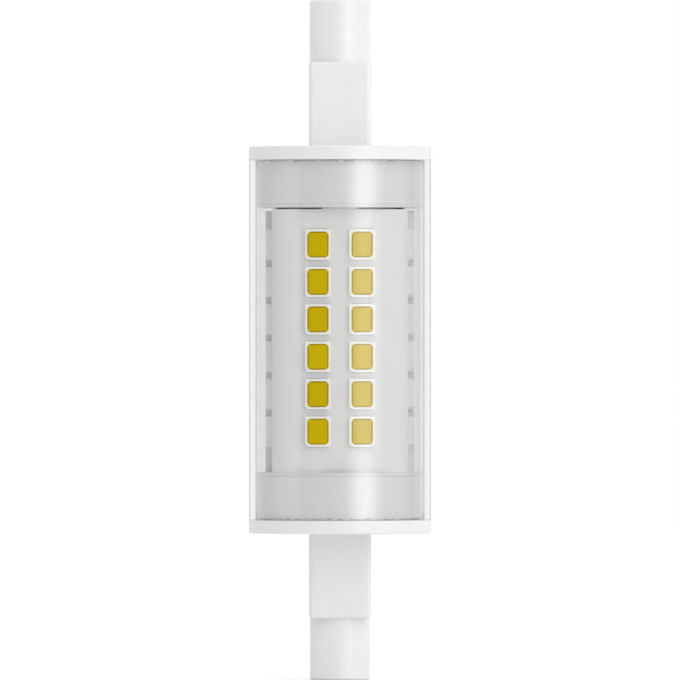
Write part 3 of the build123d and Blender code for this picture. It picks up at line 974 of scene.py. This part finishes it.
class LAMP_OT_stage(Operator):
    """Set the floor, the studio light and the camera"""

    bl_idname = "lamp.stage"
    bl_label = "Stage"

    def seen_white(self, tree):
        """One for what is seen, in clear plastic and gloss too, and nought for light on surfaces."""
        ray = add(tree, "ShaderNodeLightPath").outputs
        seen = calculate(tree, "MAXIMUM", ray["Is Camera Ray"], ray["Is Glossy Ray"])
        seen = calculate(tree, "MAXIMUM", seen, ray["Is Transmission Ray"])
        unscattered = calculate(tree, "LESS_THAN", ray["Diffuse Depth"], 0.5)
        return calculate(tree, "MULTIPLY", seen, unscattered)

    def curved_panel(self, name, radius, turns, heights, material):
        """Upright panel that bends round the lamp between two turns from the camera's side."""
        start, end = (math.radians(turn) for turn in turns)
        work = bmesh.new()
        columns = []
        for step in range(panel_facets + 1):
            angle = start + (end - start) * step / panel_facets
            x = radius * math.sin(angle)
            y = -radius * math.cos(angle)
            columns.append([work.verts.new((x, y, z)) for z in heights])
        along = work.loops.layers.uv.new("along")
        for step, (near, far) in enumerate(zip(columns, columns[1:])):
            face = work.faces.new((near[0], near[1], far[1], far[0]))
            for corner, share in zip(face.loops, (step, step, step + 1, step + 1)):
                corner[along].uv = (share / panel_facets, 0.5)
        mesh = bpy.data.meshes.new(name)
        work.to_mesh(mesh)
        work.free()
        mesh.materials.append(material)
        panel = new_object(name, mesh)
        panel.visible_camera = False
        panel.visible_transmission = False
        panel.visible_shadow = False
        return panel

    def glowing(self, name):
        """Material that only gives light: the material and its light shader."""
        material, tree, shader = new_material(name)
        tree.nodes.remove(shader)
        glow = add(tree, "ShaderNodeEmission")
        tree.links.new(glow.outputs["Emission"], tree.nodes["Material Output"].inputs["Surface"])
        return material, glow

    def soft_light(self, name, base, strength):
        """Light of a panel, brightest along its middle and faded to its ends, over an even base."""
        material, glow = self.glowing(name)
        tree = material.node_tree
        place = add(tree, "ShaderNodeUVMap", uv_map="along").outputs["UV"]
        wave = calculate(tree, "SINE", calculate(tree, "MULTIPLY", axes(tree, place)["X"], math.pi))
        level = calculate(tree, "MULTIPLY", calculate(tree, "MULTIPLY", wave, wave), strength)
        tree.links.new(calculate(tree, "ADD", level, base), glow.inputs["Strength"])
        return material

    def even_light(self, name, strength):
        """Light of a panel that is equally bright all over."""
        material, glow = self.glowing(name)
        glow.inputs["Strength"].default_value = strength
        return material

    def lighting_panels(self, settings):
        """Soft panels in front and on the right, which light the lamp and aren't mirrored in it."""
        base = settings.dome_low + panel_dome_share * (settings.dome_high - settings.dome_low)
        panels = (
            ("front_panel", front_panel_turns, front_panel_top, settings.front_panel),
            ("side_panel", side_panel_turns, side_panel_top, settings.side_panel),
        )
        for name, turns, top, strength in panels:
            light = self.soft_light(name + "_light", base, strength)
            panel = self.curved_panel(name, panel_radius, turns, (settings.panel_bottom, top), light)
            panel.visible_glossy = False

    def mirrored_panels(self, settings):
        """What only the gloss mirrors: a bright panel between studio walls."""
        streak = self.soft_light("streak_panel_light", 0.0, settings.streak_panel)
        panels = [("streak_panel", panel_radius, streak_panel_turns, streak_panel_top, streak)]
        for name, turns in wall_turns.items():
            light = self.even_light(name + "_light", getattr(settings, name))
            panels.append((name, wall_radius, turns, wall_top, light))
        for name, radius, turns, top, light in panels:
            panel = self.curved_panel(name, radius, turns, (0.0, top), light)
            panel.visible_diffuse = False

    def pale_floor(self, settings):
        """Wide pale floor that keeps the lamp's shadow."""
        mesh = bpy.data.meshes.new("floor")
        signs = ((-1, -1), (1, -1), (1, 1), (-1, 1))
        mesh.from_pydata([(x * floor_reach, y * floor_reach, 0.0) for x, y in signs], [], [(0, 1, 2, 3)])
        floor = new_object("floor", mesh)
        material, tree, shader = new_material("pale_floor")
        shader.inputs["Base Color"].default_value = (*settings.floor, 1.0)
        shader.inputs["Roughness"].default_value = 0.9
        shader.inputs["Specular IOR Level"].default_value = 0.0
        shader.inputs["Emission Color"].default_value = white
        added = calculate(tree, "MULTIPLY", self.seen_white(tree), settings.floor_white)
        tree.links.new(added, shader.inputs["Emission Strength"])
        floor.data.materials.append(material)

    def studio_world(self, scene, settings):
        """White for what is seen, and a dome of soft light, stronger overhead, for the surfaces."""
        world = bpy.data.worlds.new("studio")
        scene.world = world
        world.use_nodes = True
        tree = world.node_tree
        tree.nodes.clear()
        place = add(tree, "ShaderNodeTexCoord").outputs["Generated"]
        dome = ranged(tree, axes(tree, place)["Z"], {
            "From Max": settings.dome_full, "To Min": settings.dome_low, "To Max": settings.dome_high,
        })
        soft = add(tree, "ShaderNodeBackground", {"Color": white})
        tree.links.new(dome, soft.inputs["Strength"])
        seen = add(tree, "ShaderNodeBackground", {"Color": white, "Strength": 1.0})
        mixed = add(tree, "ShaderNodeMixShader")
        output = add(tree, "ShaderNodeOutputWorld")
        tree.links.new(self.seen_white(tree), mixed.inputs["Fac"])
        tree.links.new(soft.outputs["Background"], mixed.inputs[1])
        tree.links.new(seen.outputs["Background"], mixed.inputs[2])
        tree.links.new(mixed.outputs["Shader"], output.inputs["Surface"])

    def level_camera(self, scene, settings):
        """Long lens level with the middle of the lamp, straight in front."""
        data = bpy.data.cameras.new("camera")
        data.lens = settings.lens
        data.sensor_width = 36.0
        camera = new_object("camera", data)
        camera.location = (0.0, -settings.distance, lamp_middle)
        camera.rotation_euler = (math.pi / 2, 0.0, 0.0)
        scene.camera = camera

    def execute(self, context):
        scene = context.scene
        settings = scene.lamp_stage
        scene.view_settings.view_transform = "Standard"
        self.pale_floor(settings)
        self.lighting_panels(settings)
        self.mirrored_panels(settings)
        self.studio_world(scene, settings)
        self.level_camera(scene, settings)
        return {"FINISHED"}


class LAMP_PT_panel(Panel):
    """Lists the steps that finish the lamp, and their settings"""

    bl_idname = "LAMP_PT_panel"
    bl_label = "LED lamp"
    bl_space_type = "VIEW_3D"
    bl_region_type = "UI"
    bl_category = "LED lamp"

    def draw(self, context):
        for step in steps:
            self.layout.operator(step.bl_idname)
        for group in settings_groups:
            settings = getattr(context.scene, group)
            box = self.layout.box()
            for name in settings.bl_rna.properties.keys():
                if name not in ("rna_type", "name"):
                    box.prop(settings, name)


settings_groups = {
    "lamp_leds": LedSizes,
    "lamp_cover": CoverSizes,
    "lamp_colours": LampColours,
    "lamp_stage": StageSettings,
}
steps = (
    LAMP_OT_end_caps,
    LAMP_OT_contacts,
    LAMP_OT_core,
    LAMP_OT_driver,
    LAMP_OT_leds,
    LAMP_OT_adhesive,
    LAMP_OT_cover,
    LAMP_OT_stage,
)


def register():
    """Register the settings, the operators and the panel."""
    for name, group in settings_groups.items():
        bpy.utils.register_class(group)
        setattr(bpy.types.Scene, name, PointerProperty(type=group))
    for step in steps:
        bpy.utils.register_class(step)
    bpy.utils.register_class(LAMP_PT_panel)


def unregister():
    """Take everything out again."""
    bpy.utils.unregister_class(LAMP_PT_panel)
    for step in reversed(steps):
        bpy.utils.unregister_class(step)
    for name, group in settings_groups.items():
        delattr(bpy.types.Scene, name)
        bpy.utils.unregister_class(group)


def main():
    """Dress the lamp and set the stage."""
    register()
    bpy.ops.lamp.end_caps()
    bpy.ops.lamp.contacts()
    bpy.ops.lamp.core()
    bpy.ops.lamp.driver()
    bpy.ops.lamp.leds()
    bpy.ops.lamp.adhesive()
    bpy.ops.lamp.cover()
    bpy.ops.lamp.stage()


if __name__ == "__main__":
    main()
